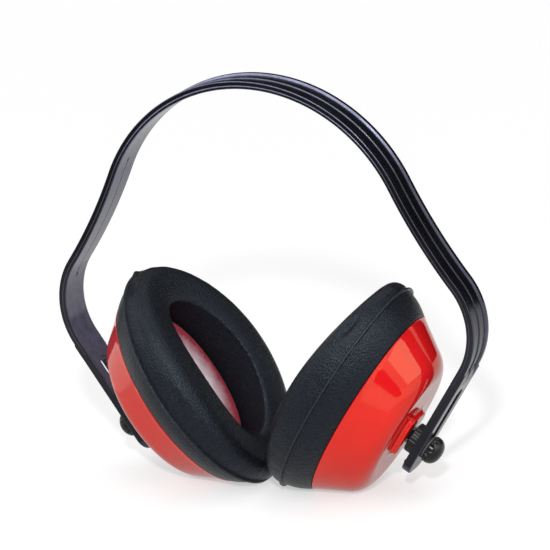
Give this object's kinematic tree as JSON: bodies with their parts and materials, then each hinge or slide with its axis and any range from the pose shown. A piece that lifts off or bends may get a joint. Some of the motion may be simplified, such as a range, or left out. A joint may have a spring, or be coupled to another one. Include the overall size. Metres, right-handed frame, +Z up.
{
  "type": "earmuff hearing protector",
  "caption": "Over-the-head hearing protector: a bent plastic strip with slotted arms carries oval cups with soft cushions that slide, tilt and swivel on ball studs.",
  "frame": {"origin": "middle of the footprint, on the floor under the flats of the two shells", "axes": "+X across the head from the left cup to the right cup, +Y from front to back, +Z up to the crown of the strip"},
  "size_m": [0.1792, 0.0718, 0.1632],
  "materials": {
    "band_plastic": "glossy black, moulded",
    "slide_plastic": "black, moulded",
    "washer_fibre": "matt fibre",
    "knob_plastic": "black, fluted grip",
    "stud_plastic": "black acetal",
    "nut_steel": "sprung steel",
    "seal_rubber": "soft black",
    "shell_plastic": "glossy orange-red",
    "liner_foam": "open-cell foam, pale",
    "plate_plastic": "black, moulded",
    "cushion_foam": "soft foam",
    "cushion_vinyl": "grained black vinyl film"
  },
  "bodies": {
    "headband": {"headband": "band_plastic"},
    "left_slider": {"left_slide_block": "slide_plastic", "left_friction_washer": "washer_fibre"},
    "left_knob": {"left_knob": "knob_plastic"},
    "left_pivot": {"left_ball_stud": "stud_plastic", "left_push_nut": "nut_steel"},
    "left_cup": {"left_cup_shell": "shell_plastic", "left_seal_washer": "seal_rubber", "left_foam_liner": "liner_foam", "left_cushion_plate": "plate_plastic", "left_cushion_foam": "cushion_foam", "left_cushion_back": "cushion_vinyl", "left_cushion_front": "cushion_vinyl"},
    "right_slider": {"right_slide_block": "slide_plastic", "right_friction_washer": "washer_fibre"},
    "right_knob": {"right_knob": "knob_plastic"},
    "right_pivot": {"right_ball_stud": "stud_plastic", "right_push_nut": "nut_steel"},
    "right_cup": {"right_cup_shell": "shell_plastic", "right_seal_washer": "seal_rubber", "right_foam_liner": "liner_foam", "right_cushion_plate": "plate_plastic", "right_cushion_foam": "cushion_foam", "right_cushion_back": "cushion_vinyl", "right_cushion_front": "cushion_vinyl"}
  },
  "joints": [
    {"name": "left_height", "type": "slide", "parent": "headband", "child": "left_slider", "axis": [-0.5432, 0, 0.8396], "range_m": [0, 0.017]},
    {"name": "left_knob_turn", "type": "hinge", "parent": "left_slider", "child": "left_knob", "pos_m": [-0.06733, 0, 0.01689], "axis": [0.8396, 0, 0.5432], "continuous": true},
    {"name": "left_tilt", "type": "hinge", "parent": "left_slider", "child": "left_pivot", "pos_m": [-0.05876, 0, 0.02243], "axis": [0, 1, 0], "range_deg": [0, 8]},
    {"name": "left_swivel", "type": "hinge", "parent": "left_pivot", "child": "left_cup", "pos_m": [-0.05876, 0, 0.02243], "axis": [0.8396, 0, 0.5432], "continuous": true},
    {"name": "right_height", "type": "slide", "parent": "headband", "child": "right_slider", "axis": [0.5432, 0, 0.8396], "range_m": [0, 0.017]},
    {"name": "right_knob_turn", "type": "hinge", "parent": "right_slider", "child": "right_knob", "pos_m": [0.06733, 0, 0.01689], "axis": [-0.8396, 0, 0.5432], "continuous": true},
    {"name": "right_tilt", "type": "hinge", "parent": "right_slider", "child": "right_pivot", "pos_m": [0.05876, 0, 0.02243], "axis": [0, -1, 0], "range_deg": [0, 8]},
    {"name": "right_swivel", "type": "hinge", "parent": "right_pivot", "child": "right_cup", "pos_m": [0.05876, 0, 0.02243], "axis": [-0.8396, 0, 0.5432], "continuous": true}
  ]
}
